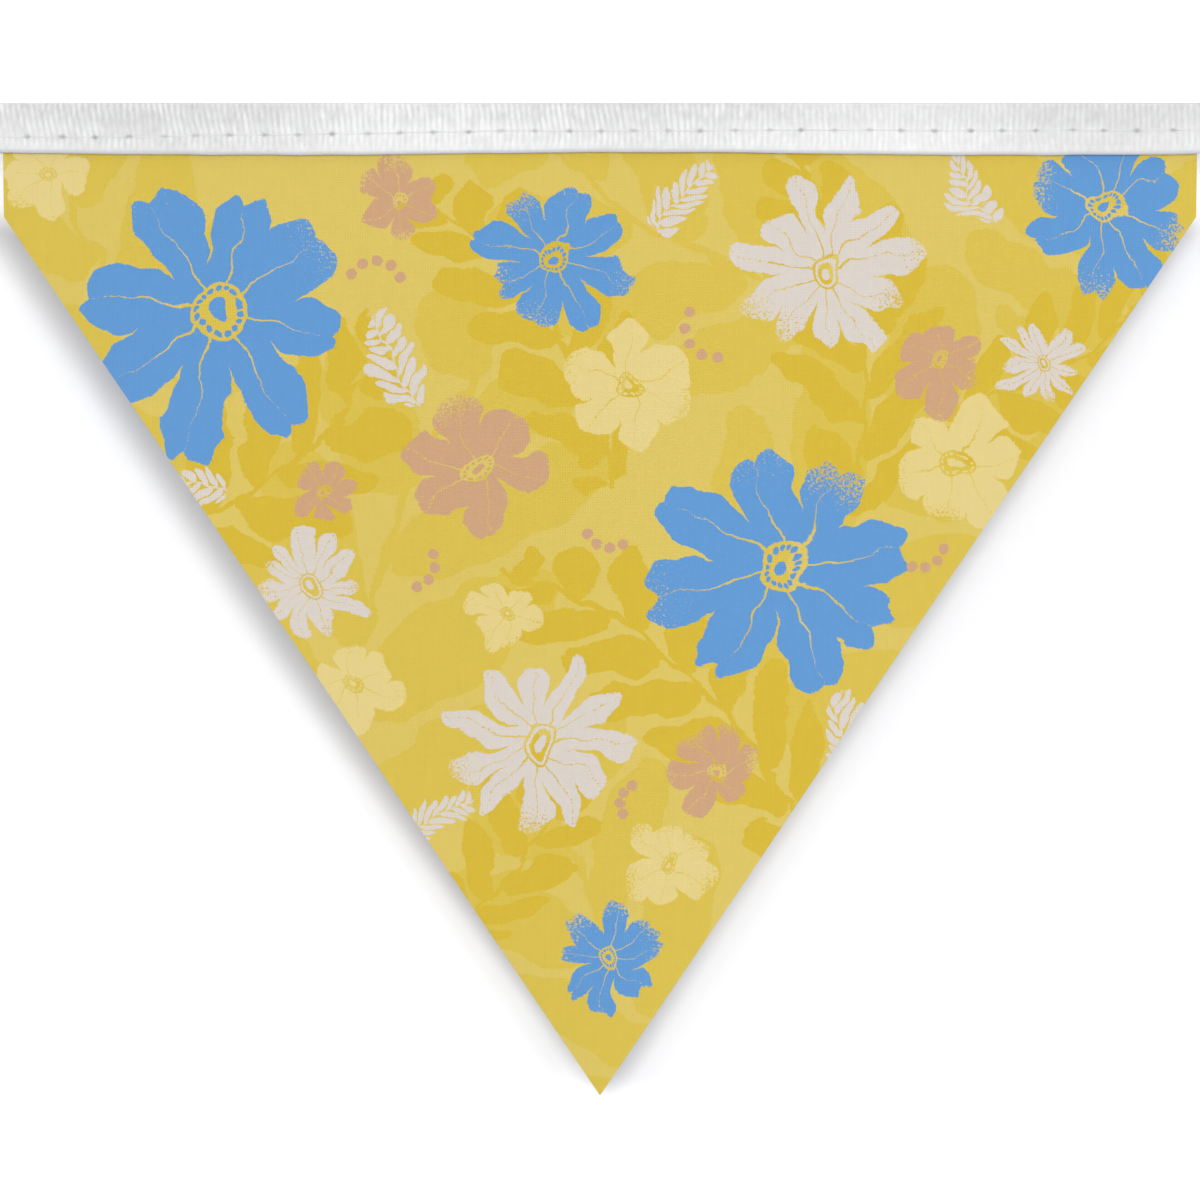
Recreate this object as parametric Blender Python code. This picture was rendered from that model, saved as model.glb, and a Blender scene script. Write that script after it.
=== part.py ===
"""One flag of fabric bunting: a printed cotton pennant under a folded heading tape.

The pennant is a single layer with plain cut edges: upright sides down to its two
shoulders, then straight diagonals to the point. Its top edge is tucked between the two
leaves of a ribbed tape, which is folded in half along its top edge and runs on past
both sides of the pennant, where its leaves close on each other.

Metres, +Z up. The origin is the middle of the tape's top edge, which hangs level along
X. The printed face looks along -Y, so +X is to the right as it is seen.
"""

import math

import bmesh
import bpy

# The folded tape
TAPE_DROP = 0.010  # from its top fold to its two lower edges
TAPE_TAIL = 0.030  # how far it runs on past each side of the pennant
TAPE_CLOSING = 0.009  # length along which its leaves close beside the pennant
EDGE_WAVER = 0.0002  # how far the front leaf's lower edge strays from level
EDGE_WAVE_LENGTH = 0.105

# The pennant, measured down from the tape's top edge
SIDE_HALF_WIDTH = 0.1195
SHOULDER_HALF_WIDTH = 0.1192
SHOULDER_DROP = 0.0228
TIP_DROP = 0.198

# The cloth of both
SHEET = 0.001  # thickness of one layer
GAP = 0.0003  # air between two layers that lie together

# How the pennant hangs: it is flat where it is sewn, and rolls a little lower down.
# Each roll is an upright trough, and a depth above zero leans to the back.
ROLLS = (
    # middle x, half width, depth
    (-0.060, 0.042, 0.0016),
    (0.006, 0.036, -0.0013),
    (0.066, 0.040, 0.0015),
)
ROLLS_FULL = 0.5  # share of the way down at which the rolls are at their deepest
TIP_LEAN = -0.0022  # the point hangs this far towards the front

# Mesh steps
PENNANT_CELLS = 30  # across the pennant's widest row
BAND_ROWS = 3  # from its top edge down to its shoulders
FOLD_STEPS = 8  # round the tape's top fold
LEAF_ROWS = 3  # down each leaf of the tape
TAPE_STEPS = 40  # along the tape where it holds the pennant
CLOSING_STEPS = 6  # along each stretch where its leaves close

# Sizes that follow from those
BACK_LEAF_Y = GAP + SHEET  # middle of each leaf's thickness beside the pennant
CLOSED_LEAF_Y = BACK_LEAF_Y - GAP - SHEET  # the front leaf's place in the tails
PENNANT_TOP_DROP = SHEET + 2 * GAP  # its hidden top edge, just under the fold
HALF_TAPE = SIDE_HALF_WIDTH + TAPE_TAIL

PRINTED_GOLD = (0.730, 0.565, 0.133, 1.0)
COTTON_ROUGHNESS = 0.85
TAPE_WHITE = (0.830, 0.830, 0.835, 1.0)
TAPE_ROUGHNESS = 0.70


def clear_scene():
    for item in list(bpy.data.objects):
        bpy.data.objects.remove(item, do_unlink=True)


def cloth_material(name, colour, roughness):
    material = bpy.data.materials.new(name)
    material.use_nodes = True
    shader = material.node_tree.nodes["Principled BSDF"]
    shader.inputs["Base Color"].default_value = colour
    shader.inputs["Roughness"].default_value = roughness
    shader.inputs["Metallic"].default_value = 0.0
    return material


def ease(share):
    """A smooth step from 0 to 1, level at both ends."""
    share = min(max(share, 0.0), 1.0)
    return share * share * (3.0 - 2.0 * share)


def hang(x, z):
    """How far the pennant's middle layer stands from the plane y = 0."""
    below_tape = (-z - TAPE_DROP) / (TIP_DROP - TAPE_DROP)
    y = TIP_LEAN * ease(below_tape) * max(below_tape, 0.0)
    for middle, half_width, depth in ROLLS:
        across = 1.0 - ease(abs(x - middle) / half_width)
        y += depth * across * ease(below_tape / ROLLS_FULL)
    return y


def row_of_points(mesh, half_width, z, cells):
    if cells == 0:
        return [mesh.verts.new((0.0, hang(0.0, z), z))]
    places = [half_width * (2.0 * i / cells - 1.0) for i in range(cells + 1)]
    return [mesh.verts.new((x, hang(x, z), z)) for x in places]


def join_rows(mesh, upper, lower):
    """Triangles between two rows, where the lower one has as many points or one less."""
    for i in range(len(upper) - 1):
        mesh.faces.new((upper[i], lower[i], upper[i + 1]))
        if i + 1 < len(lower):
            mesh.faces.new((lower[i], lower[i + 1], upper[i + 1]))


def pennant_sheet():
    """The pennant's middle layer: an upright band, then a triangle that ends in a point."""
    mesh = bmesh.new()
    rows = []
    for step in range(BAND_ROWS):
        share = step / BAND_ROWS
        z = -PENNANT_TOP_DROP + share * (PENNANT_TOP_DROP - SHOULDER_DROP)
        half_width = SIDE_HALF_WIDTH + share * (SHOULDER_HALF_WIDTH - SIDE_HALF_WIDTH)
        rows.append(row_of_points(mesh, half_width, z, PENNANT_CELLS))
    for cells in range(PENNANT_CELLS, -1, -1):
        share = cells / PENNANT_CELLS
        z = -TIP_DROP + share * (TIP_DROP - SHOULDER_DROP)
        rows.append(row_of_points(mesh, share * SHOULDER_HALF_WIDTH, z, cells))
    for upper, lower in zip(rows, rows[1:]):
        join_rows(mesh, upper, lower)
    return mesh


def stations():
    """Places along the tape: (x, how far the leaves are closed there, from 0 to 1)."""
    open_end = SIDE_HALF_WIDTH + GAP
    middle = [open_end * (2.0 * i / TAPE_STEPS - 1.0) for i in range(TAPE_STEPS + 1)]
    closing = [i / CLOSING_STEPS for i in range(1, CLOSING_STEPS + 1)]
    right = [(open_end + TAPE_CLOSING * share, ease(share)) for share in closing]
    right.append((HALF_TAPE, 1.0))
    left = [(-x, closed) for x, closed in reversed(right)]
    return left + [(x, 0.0) for x in middle] + right


def tape_section(x, closed):
    """Points (y, z) from the back leaf's lower edge, over the fold, to the front's."""
    front_y = -BACK_LEAF_Y + closed * (CLOSED_LEAF_Y + BACK_LEAF_Y)
    middle_y = (BACK_LEAF_Y + front_y) / 2
    radius = (BACK_LEAF_Y - front_y) / 2
    fold_z = -SHEET / 2 - radius
    front_low = -TAPE_DROP + EDGE_WAVER * math.sin(2 * math.pi * x / EDGE_WAVE_LENGTH)
    drops = [i / LEAF_ROWS for i in range(LEAF_ROWS)]
    points = [(BACK_LEAF_Y, -TAPE_DROP + share * (TAPE_DROP + fold_z)) for share in drops]
    for step in range(FOLD_STEPS + 1):
        angle = math.pi * step / FOLD_STEPS
        points.append(
            (middle_y + radius * math.cos(angle), fold_z + radius * math.sin(angle))
        )
    points += [
        (front_y, front_low + share * (fold_z - front_low)) for share in reversed(drops)
    ]
    return points


def tape_sheet():
    """The tape's middle layer, folded over the pennant's top edge."""
    mesh = bmesh.new()
    sections = [
        [mesh.verts.new((x, y, z)) for y, z in tape_section(x, closed)]
        for x, closed in stations()
    ]
    for near, far in zip(sections, sections[1:]):
        for i in range(len(near) - 1):
            mesh.faces.new((near[i], far[i], far[i + 1], near[i + 1]))
    return mesh


def cloth_object(name, sheet, material):
    """Thickens a sheet evenly on both of its faces and adds it to the scene."""
    data = bpy.data.meshes.new(name)
    sheet.to_mesh(data)
    sheet.free()
    data.materials.append(material)
    data.shade_smooth()
    cloth = bpy.data.objects.new(name, data)
    bpy.context.collection.objects.link(cloth)
    thicken = cloth.modifiers.new("thickness", "SOLIDIFY")
    thicken.thickness = SHEET
    thicken.offset = 0.0
    thicken.use_even_offset = True
    return cloth


def main():
    clear_scene()
    cotton = cloth_material("printed_cotton", PRINTED_GOLD, COTTON_ROUGHNESS)
    ribbed_tape = cloth_material("ribbed_tape", TAPE_WHITE, TAPE_ROUGHNESS)
    cloth_object("pennant", pennant_sheet(), cotton)
    cloth_object("tape", tape_sheet(), ribbed_tape)


main()
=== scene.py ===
"""Fabric bunting: the finished look of one flag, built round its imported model.

The file is laid out as a Blender add-on and run as a script. Each operator makes one
piece, or the stage, from its own settings, and main() calls them in order.

Metres, +Z up. The origin is the middle of the tape's top edge, the tape runs along X,
and the printed face looks along -Y. Shader formulas count in millimetres.
"""

import math

import bpy
import numpy as np
from bpy.props import FloatProperty, FloatVectorProperty, PointerProperty
from bpy.types import Operator, Panel, PropertyGroup
from mathutils import Euler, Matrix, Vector


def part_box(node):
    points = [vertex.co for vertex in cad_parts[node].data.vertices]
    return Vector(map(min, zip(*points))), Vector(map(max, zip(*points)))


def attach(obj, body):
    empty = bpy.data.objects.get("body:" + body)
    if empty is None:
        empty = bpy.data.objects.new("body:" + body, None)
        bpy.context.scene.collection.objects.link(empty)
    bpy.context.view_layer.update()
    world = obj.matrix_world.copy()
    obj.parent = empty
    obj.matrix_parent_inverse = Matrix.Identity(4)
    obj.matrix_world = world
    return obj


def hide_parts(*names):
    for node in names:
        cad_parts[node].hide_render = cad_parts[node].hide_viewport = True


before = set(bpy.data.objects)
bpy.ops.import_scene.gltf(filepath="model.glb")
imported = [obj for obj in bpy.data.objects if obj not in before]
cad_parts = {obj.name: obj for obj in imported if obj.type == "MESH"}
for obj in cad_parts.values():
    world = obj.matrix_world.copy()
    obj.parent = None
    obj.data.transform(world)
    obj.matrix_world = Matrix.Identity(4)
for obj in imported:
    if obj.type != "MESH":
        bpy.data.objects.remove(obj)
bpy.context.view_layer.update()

bl_info = {
    "name": "Fabric Bunting",
    "version": (1, 0, 0),
    "blender": (4, 5, 0),
    "location": "3D View > Sidebar > Bunting",
    "description": "Makes a printed cotton pennant on a folded ribbed tape",
    "category": "Add Mesh",
}

MM = 0.001
FULL_TURN = 2 * math.pi

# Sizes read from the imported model
SIDE_HALF_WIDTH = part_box("pennant")[1].x
PENNANT_TOP_DROP = -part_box("pennant")[1].z
TIP_DROP = -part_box("pennant")[0].z
HALF_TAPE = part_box("tape")[1].x

# Sizes that the model's boxes don't give
TAPE_DROP = 0.010
TAPE_CLOSING = 0.009  # the length over which the leaves close on each other
SHOULDER_HALF_WIDTH = 0.1192
SHOULDER_DROP = 0.0228
SLANT_RISE = TIP_DROP - SHOULDER_DROP
SLANT = math.hypot(SHOULDER_HALF_WIDTH, SLANT_RISE)  # the length of a diagonal side
TIP_LEAN = -0.0022
ROLLS_FULL = 0.5  # the share of the way down at which the rolls reach their full depth
ROLLS = (
    # middle x, half width, depth
    (-0.060, 0.042, 0.0016),
    (0.006, 0.036, -0.0013),
    (0.066, 0.040, 0.0015),
)

# The photograph's frame, at the pennant's face
PHOTO_SIDE = 0.240
TAPE_TOP_SHARE = 103 / 1200  # how far down the frame the tape's top edge lies

# How bright a white surface comes out under the stage's lights, and the part of it that
# the cloth's outer fibres scatter whatever their colour is
STAGE_LIGHT = 1.19
FIBRE_HAZE = 0.010


def base(red, green, blue):
    """The linear base colour that the stage's light brings out as this 8-bit colour."""
    shares = (np.array((red, green, blue)) / 255 + 0.055) / 1.055
    return tuple(float(value) for value in (shares**2.4 - FIBRE_HAZE) / STAGE_LIGHT)


# ---- smooth chance


def chance(i, j, seed):
    """A fixed number from -1 to 1 for each pair of whole numbers."""
    scattered = np.sin(i * 127.1 + j * 311.7 + seed * 74.7) * 43758.5453
    return (scattered - np.floor(scattered)) * 2 - 1


def ease(share):
    """A smooth step from 0 to 1, level at both ends."""
    share = np.clip(share, 0.0, 1.0)
    return share * share * (3.0 - 2.0 * share)


def drift(x, y, seed):
    """Smooth unevenness from -1 to 1 over a plane, about one unit from bump to bump."""
    i, j = np.floor(x), np.floor(y)
    right, up = ease(x - i), ease(y - j)
    low = chance(i, j, seed) * (1 - right) + chance(i + 1, j, seed) * right
    high = chance(i, j + 1, seed) * (1 - right) + chance(i + 1, j + 1, seed) * right
    return low * (1 - up) + high * up


# ---- meshes


def unit(vectors):
    """Vectors scaled to a length of one."""
    return vectors / np.linalg.norm(vectors, axis=1, keepdims=True)


def add_mesh(name, points, faces, sharp_degrees):
    mesh = bpy.data.meshes.new(name)
    mesh.from_pydata(points.tolist(), [], faces)
    mesh.validate()
    mesh.shade_smooth()
    mesh.set_sharp_from_angle(angle=math.radians(sharp_degrees))
    piece = bpy.data.objects.new(name, mesh)
    bpy.context.scene.collection.objects.link(piece)
    return piece


def store(mesh, name, domain, values):
    """Keeps one number or vector for each point or face corner of a mesh."""
    kind, field = ("FLOAT", "value") if values.ndim == 1 else ("FLOAT_VECTOR", "vector")
    layer = mesh.attributes.new(name, kind, domain)
    layer.data.foreach_set(field, values.astype(np.float32).ravel())


def lay_map(mesh, pattern):
    """Gives every face corner its place on the flat pattern."""
    layer = mesh.uv_layers.new(name="OFBake")
    layer.data.foreach_set("uv", pattern.astype(np.float32).ravel())


def grid_faces(number):
    """Quads over lines of numbered points."""
    near, far = number[:-1], number[1:]
    quads = np.stack((near[:, :-1], near[:, 1:], far[:, 1:], far[:, :-1]), -1)
    return quads.reshape(-1, 4).tolist()


# ---- the pennant


PENNANT_CELLS = 150  # across its widest row
BAND_ROWS = 14  # from its top edge down to its shoulders
PUCKER = 0.00010  # ripples where the stitches draw the cloth in
PUCKER_WIDTH = 0.0034
PUCKER_LENGTH = 0.012
PUCKER_FADING = 16  # they fade this fast on the way down
EDGE_CURL = 0.0004
CURL_LENGTH = 0.035
CURL_WIDTH = 0.004
FREEING = 12  # and the cloth comes free of the tape this fast


def cut_distance(x, z):
    """How far inside the nearer cut edge a place on the pennant lies."""
    slanted = (SHOULDER_HALF_WIDTH * (z + TIP_DROP) - SLANT_RISE * np.abs(x)) / SLANT
    return np.minimum(slanted, SIDE_HALF_WIDTH - np.abs(x))


def hang(x, z):
    """How far the pennant's middle layer stands from the plane y = 0."""
    below = (-z - TAPE_DROP) / (TIP_DROP - TAPE_DROP)
    y = TIP_LEAN * ease(below) * np.maximum(below, 0.0)
    for middle, half_width, depth in ROLLS:
        across = 1.0 - ease(np.abs(x - middle) / half_width)
        y = y + depth * across * ease(below / ROLLS_FULL)
    near_seam = np.exp(-below * PUCKER_FADING)
    pucker = PUCKER * drift(x / PUCKER_WIDTH, z / PUCKER_LENGTH, 3) * near_seam
    near_edge = np.exp(-cut_distance(x, z) / CURL_WIDTH)
    curl = EDGE_CURL * drift(x / CURL_LENGTH, z / CURL_LENGTH, 5) * near_edge
    return y + ease(below * FREEING) * (pucker + curl)


def level_row(half_width, z, cells):
    """Evenly spaced places (x, z) across the pennant."""
    x = np.linspace(-half_width, half_width, cells + 1)
    return np.stack((x, np.full_like(x, z)), -1)


def pennant_rows():
    """The lattice's rows, from the top edge down to the point."""
    rows = []
    for step in range(BAND_ROWS):
        share = step / BAND_ROWS
        z = -PENNANT_TOP_DROP + share * (PENNANT_TOP_DROP - SHOULDER_DROP)
        half_width = SIDE_HALF_WIDTH + share * (SHOULDER_HALF_WIDTH - SIDE_HALF_WIDTH)
        rows.append(level_row(half_width, z, PENNANT_CELLS))
    for cells in range(PENNANT_CELLS, -1, -1):
        share = cells / PENNANT_CELLS
        rows.append(level_row(share * SHOULDER_HALF_WIDTH, -TIP_DROP + share * SLANT_RISE, cells))
    return rows


def pennant_faces(rows):
    """Triangles between the rows, seen from the front, and the line round their edge."""
    starts = np.cumsum([0] + [len(row) for row in rows])
    triangles = []
    for upper, lower, top, low in zip(rows, rows[1:], starts, starts[1:]):
        i = np.arange(len(upper) - 1)
        triangles.append(np.stack((top + i, low + i, top + i + 1), -1))
        i = np.arange(len(lower) - 1)
        triangles.append(np.stack((low + i, low + i + 1, top + i + 1), -1))
    down_left = starts[:-1]
    up_right = (starts[1:] - 1)[::-1][1:]
    across_top = np.arange(len(rows[0]) - 2, -1, -1)
    ring = np.concatenate((down_left, up_right, across_top))
    return np.concatenate(triangles), ring


def offset_points(flat, side, thickness):
    """Places one face of the cloth half its thickness to one side of the middle layer."""
    x, z = flat[:, 0], flat[:, 1]
    near = 0.1 * MM
    slope_x = (hang(x + near, z) - hang(x - near, z)) / (2 * near)
    slope_z = (hang(x, z + near) - hang(x, z - near)) / (2 * near)
    normal = unit(np.stack((-slope_x, np.ones_like(x), -slope_z), -1))
    return np.stack((x, hang(x, z), z), -1) + side * normal * thickness / 2


def lay_print(mesh, flat, corners):
    """Gives every corner its place within the nearest motif of each ink layer."""
    spots = flat[corners] / MM
    middles = spots.mean(axis=1)
    for name, motifs in PRINT_LAYERS.items():
        x, z, radius, degrees = (np.array(column) for column in zip(*motifs))
        away = np.hypot(middles[:, :1] - x, middles[:, 1:] - z) / radius
        owner = away.argmin(axis=1)[:, None]
        across = (spots[..., 0] - x[owner]) / radius[owner]
        up = (spots[..., 1] - z[owner]) / radius[owner]
        turn = np.radians(degrees)[owner]
        place = (
            across * np.cos(turn) + up * np.sin(turn),
            up * np.cos(turn) - across * np.sin(turn),
            np.broadcast_to(radius[owner], across.shape),
        )
        values = np.zeros((len(mesh.loops), 3))
        values[: corners.size] = np.stack(place, -1).reshape(-1, 3)
        store(mesh, name, "CORNER", values)


# The pennant's flat pattern: its face nearly fills a square, and its back lies beside it
MAP_SIDE = 2.01 * SIDE_HALF_WIDTH
FACE_AT = (0.5, 0.996)
BACK_AT = (0.285, 0.004)
BACK_SCALE = -0.54
RIM_ON_MAP = 0.0008


def cut_map(flat, ring):
    """Where the face's and the back's points, and the rim's outer line, lie on the map."""
    face = flat / MAP_SIDE + FACE_AT
    back = flat / MAP_SIDE * BACK_SCALE + BACK_AT
    edge = flat[ring]
    along = np.roll(edge, -1, axis=0) - np.roll(edge, 1, axis=0)
    out = unit(np.stack((along[:, 1], -along[:, 0]), -1))
    border = np.zeros_like(face)
    border[ring] = face[ring] + out * RIM_ON_MAP / MAP_SIDE
    return face, back, border


def make_pennant(settings):
    rows = pennant_rows()
    flat = np.concatenate(rows)
    front, ring = pennant_faces(rows)
    back = front[:, ::-1] + len(flat)
    sides = [offset_points(flat, side, settings.thickness) for side in (-1, 1)]
    after = np.roll(ring, -1)
    rim = np.stack((ring, ring + len(flat), after + len(flat), after), -1)
    faces = front.tolist() + back.tolist() + rim.tolist()
    piece = add_mesh("pennant_cloth", np.concatenate(sides), faces, sharp_degrees=50)
    parts = np.repeat((0, 1, 2), (len(front), len(back), len(rim)))
    piece.data.polygons.foreach_set("material_index", parts.astype(np.int32))

    face_map, back_map, border = cut_map(flat, ring)
    rim_map = np.stack((face_map[ring], border[ring], border[after], face_map[after]), 1)
    corners = np.concatenate((front, back))
    pattern = np.concatenate((face_map, back_map))[corners.ravel()]
    lay_map(piece.data, np.concatenate((pattern, rim_map.reshape(-1, 2))))
    lay_print(piece.data, np.concatenate((flat, flat)), corners)
    return piece


# ---- shader formulas


class Field:
    """A number that varies over a surface: formulas in it become shader maths."""

    def __init__(self, tree, socket):
        self.tree = tree
        self.socket = socket


def feed(tree, value, socket):
    """Links a field or an output to a socket, or sets a plain number or colour on it."""
    source = value.socket if isinstance(value, Field) else value
    if isinstance(source, bpy.types.NodeSocket):
        tree.links.new(source, socket)
    elif socket.type == "RGBA":
        socket.default_value = (*source, 1.0)
    else:
        socket.default_value = source


def add_node(tree, kind, feeds=(), **options):
    """A shader node with these options. Its inputs are fed by their names or numbers."""
    node = tree.nodes.new("ShaderNode" + kind)
    for option, value in options.items():
        setattr(node, option, value)
    for place, value in dict(feeds).items():
        feed(tree, value, node.inputs[place])
    return node


def rule(operation, swapped=False, clamp=False):
    """A function that adds one maths node of this kind."""

    def worked(*values):
        tree = next(value.tree for value in values if isinstance(value, Field))
        feeds = enumerate(values[::-1] if swapped else values)
        node = add_node(tree, "Math", feeds, operation=operation, use_clamp=clamp)
        return Field(tree, node.outputs[0])

    return worked


Field.__add__ = Field.__radd__ = rule("ADD")
Field.__mul__ = Field.__rmul__ = rule("MULTIPLY")
Field.__sub__ = rule("SUBTRACT")
Field.__rsub__ = rule("SUBTRACT", swapped=True)
Field.__truediv__ = rule("DIVIDE")
Field.__pow__ = rule("POWER")
least = rule("MINIMUM")
most = rule("MAXIMUM")
blended_least = rule("SMOOTH_MIN")
clamped_sum = rule("ADD", clamp=True)
absolute = rule("ABSOLUTE")
floored = rule("FLOOR")
root = rule("SQRT")
sine = rule("SINE")
cosine = rule("COSINE")
bearing = rule("ARCTAN2")
beyond = rule("GREATER_THAN")


def clamped(value):
    """value, kept between 0 and 1."""
    return clamped_sum(value, 0.0)


def eased(value):
    """A smooth step from 0 to 1."""
    value = clamped(value)
    return value * value * (3.0 - value * 2.0)


def new_material(name, roughness, specular=0.5, sheen=0.0, sheen_roughness=0.5):
    """A material, its tree and its shader."""
    material = bpy.data.materials.new(name)
    material.use_nodes = True
    shader = material.node_tree.nodes["Principled BSDF"]
    shader.inputs["Roughness"].default_value = roughness
    shader.inputs["Specular IOR Level"].default_value = specular
    shader.inputs["Sheen Weight"].default_value = sheen
    shader.inputs["Sheen Roughness"].default_value = sheen_roughness
    return material, material.node_tree, shader


def parted(tree, vector):
    """The three parts of a vector or colour, as fields."""
    node = add_node(tree, "SeparateXYZ", {0: vector})
    return [Field(tree, output) for output in node.outputs]


def joined(tree, *values):
    """A vector of three fields or numbers."""
    return add_node(tree, "CombineXYZ", enumerate(values)).outputs[0]


def stored_number(tree, name):
    return Field(tree, add_node(tree, "Attribute", attribute_name=name).outputs["Fac"])


def stored_vector(tree, name):
    return parted(tree, add_node(tree, "Attribute", attribute_name=name).outputs["Vector"])


def places(tree):
    """x and z on the piece, in millimetres."""
    x, _, z = parted(tree, add_node(tree, "TexCoord").outputs["Object"])
    return x * (1 / MM), z * (1 / MM)


def noise(tree, place, scale, detail, roughness):
    """The outputs of a noise node at a place (x, y, z)."""
    feeds = {"Scale": scale, "Detail": detail, "Roughness": roughness}
    feeds["Vector"] = joined(tree, *place)
    return add_node(tree, "TexNoise", feeds).outputs


def grain(tree, place, scale, detail, roughness=0.5):
    """Soft noise from about 0 to 1."""
    return Field(tree, noise(tree, place, scale, detail, roughness)["Fac"])


def three_grains(tree, place, scale, detail, roughness=0.5):
    """Three such noises that don't follow each other."""
    return parted(tree, noise(tree, place, scale, detail, roughness)["Color"])


def dice(tree, number, radius, seed):
    """Three numbers from 0 to 1, fixed for each numbered part of a motif of that radius."""
    to_half = floored(radius * 2.0 + 0.5)
    feeds = {"Vector": joined(tree, number, to_half, seed)}
    node = add_node(tree, "TexWhiteNoise", feeds, noise_dimensions="3D")
    return parted(tree, node.outputs["Color"])


def mixed(tree, amount, under, over):
    """One colour over another. Each is a socket or a plain colour."""
    node = add_node(tree, "Mix", {"Factor": amount}, data_type="RGBA")
    sockets = (socket for socket in node.inputs if socket.type == "RGBA")
    for colour, socket in zip((under, over), sockets):
        feed(tree, colour, socket)
    return next(socket for socket in node.outputs if socket.type == "RGBA")


def raised(tree, shader, height, depth, strength):
    """Bump on a shader from a height field between 0 and 1."""
    bump = add_node(tree, "Bump", {"Height": height, "Distance": depth, "Strength": strength})
    feed(tree, bump.outputs[0], shader.inputs["Normal"])


# ---- the print


BERRY_RADIUS = 1.1
BERRY_STEP = 0.55  # radians from one berry to the next
BERRY_ARCS = (
    # x and z of the arc's middle, its radius, where it begins in radians, berries
    (-45, -37, 5.5, 0.4, 5),
    (23, -45, 6, 2.6, 5),
    (2, -84, 5, 3.6, 4),
    (-38, -92, 5, 5.0, 4),
    (64, -88, 5, 4.4, 4),
    (8, -140, 4, 2.0, 4),
)

# A generic floral in the photograph's colours and scale, with motifs and a layout of its
# own. Each motif is x, z and radius in millimetres, and turn in degrees.
PRINT_LAYERS = {
    "mid_gold_leaves": (
        (-92, -38, 52, 28),
        (-38, -92, 60, -18),
        (18, -24, 50, 62),
        (62, -78, 58, -40),
        (104, -18, 44, 12),
        (2, -158, 46, 20),
    ),
    "deep_gold_leaves": (
        (-66, -70, 40, -52),
        (-14, -44, 38, 34),
        (48, -46, 40, 8),
        (88, -52, 34, -64),
        (14, -116, 42, 48),
        (-16, -146, 30, -30),
    ),
    "straw_blooms": (
        (6, -58, 15.5, 10),
        (72, -72, 15, 40),
        (-49, -117, 11.5, 75),
        (-19, -102, 8.5, 20),
        (14, -152, 10, 55),
        (-112, -14, 11, 30),
    ),
    "blue_blooms": (
        (-76, -42, 32.5, 12),
        (37, -93, 32, 34),
        (102, -21, 21, 5),
        (-9, -31, 17.5, 50),
        (2, -170, 13, 20),
    ),
    "tan_blooms": (
        (-25, -73, 16.5, 15),
        (68, -52, 11, 60),
        (23, -133, 10.5, 35),
        (-40, -19, 10, 5),
        (-54, -78, 7.5, 48),
    ),
    "greige_blooms": (
        (45, -33, 21, 8),
        (-12, -128, 20, 30),
        (-58, -96, 13, 0),
        (88, -52, 9.5, 22),
    ),
    "greige_sprigs": (
        (17, -19, 9.5, -40),
        (-41, -52, 11, 30),
        (74, -18, 9, 28),
        (-33, -143, 10, -55),
        (50, -128, 10, 15),
        (-84, -76, 10, 75),
    ),
    "berries": tuple(
        (x + reach * math.cos(turn), z + reach * math.sin(turn), BERRY_RADIUS, 0)
        for x, z, reach, begin, count in BERRY_ARCS
        for turn in (begin + BERRY_STEP * i for i in range(count))
    ),
}

# Motifs are drawn in shares of their radius
SWAY = 7.0  # the range, in millimetres, over which a motif's parts stray
SHIVER = 0.8  # and over which their outlines tremble
PETAL_LEANS = 0.26  # the range over which petals lean, as a share of a petal's room
PETAL_LENGTHS = 0.24  # and over which they differ in length
PETAL_BREADTHS = 0.24  # and in breadth, as a share of the motif's own
PETAL_TAPER = 0.18  # how much a petal's sides draw in towards its end
PETAL_ROUND = 0.42  # how much shorter it is at its sides than down its middle
PETAL_CORNER = 0.07  # how soft the corners between its sides and its end are
EYE = 0.17  # the bare ring round a bloom's middle
EYE_CORE = 0.055
VEIN = 0.011  # half the width of the bare vein down a petal
STEM = 0.014
INK_EDGE = 0.12  # how soft the edge of the ink is, in millimetres


def own_frame(tree, name, wobble):
    """A motif's own (across, up, radius), drawn by an unsteady hand."""
    across, up, radius = stored_vector(tree, name)
    return across + wobble[0] / radius, up + wobble[1] / radius, radius


def round_middle(across, up, parts):
    """How far from a motif's middle, and how many of its equal parts round, a place is."""
    reach = root(across * across + up * up)
    return reach, (bearing(up, across) / FULL_TURN + 0.5) * parts


def bloom(tree, name, wobble, petals, breadth, notch, seed):
    """Signed distance in millimetres inside a flower's petals, how near their ends a
    place is, and how dry it printed."""
    across, up, radius = own_frame(tree, name, wobble)
    reach, turn = round_middle(across, up, petals)
    number = floored(turn)
    long_by, lean_by, dry_by = dice(tree, number, radius, seed)

    # Along the petal's middle line, and aside from it
    angle = (turn - number - 0.5 + (lean_by - 0.5) * PETAL_LEANS) * (FULL_TURN / petals)
    along = reach * cosine(angle)
    aside = absolute(reach * sine(angle))

    # Its sides open quickly from the middle. Its end is rounded, and may have a notch.
    petal_length = 1.0 - long_by * PETAL_LENGTHS
    breadth = breadth * (0.88 + PETAL_BREADTHS * dry_by)
    far = along / petal_length
    half = breadth * root(clamped(far)) * (1.0 - PETAL_TAPER * far)
    tip = petal_length * (1.0 - PETAL_ROUND * (aside / breadth) ** 2.0) - along
    if notch:
        tip = tip - notch * clamped(1.0 - aside / (breadth * 0.4))
    petal = blended_least(half - aside, tip, PETAL_CORNER)

    # The eye and the vein stay bare
    petal = least(petal, reach - EYE)
    vein = most(VEIN * (1.0 - far * 1.35) - aside, -0.5)
    petal = least(petal, -1.0 * vein)

    outer = clamped(far * 1.6 - 0.5)
    return petal * radius, outer, outer * clamped(dry_by * 2.2 - 0.7)


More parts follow.
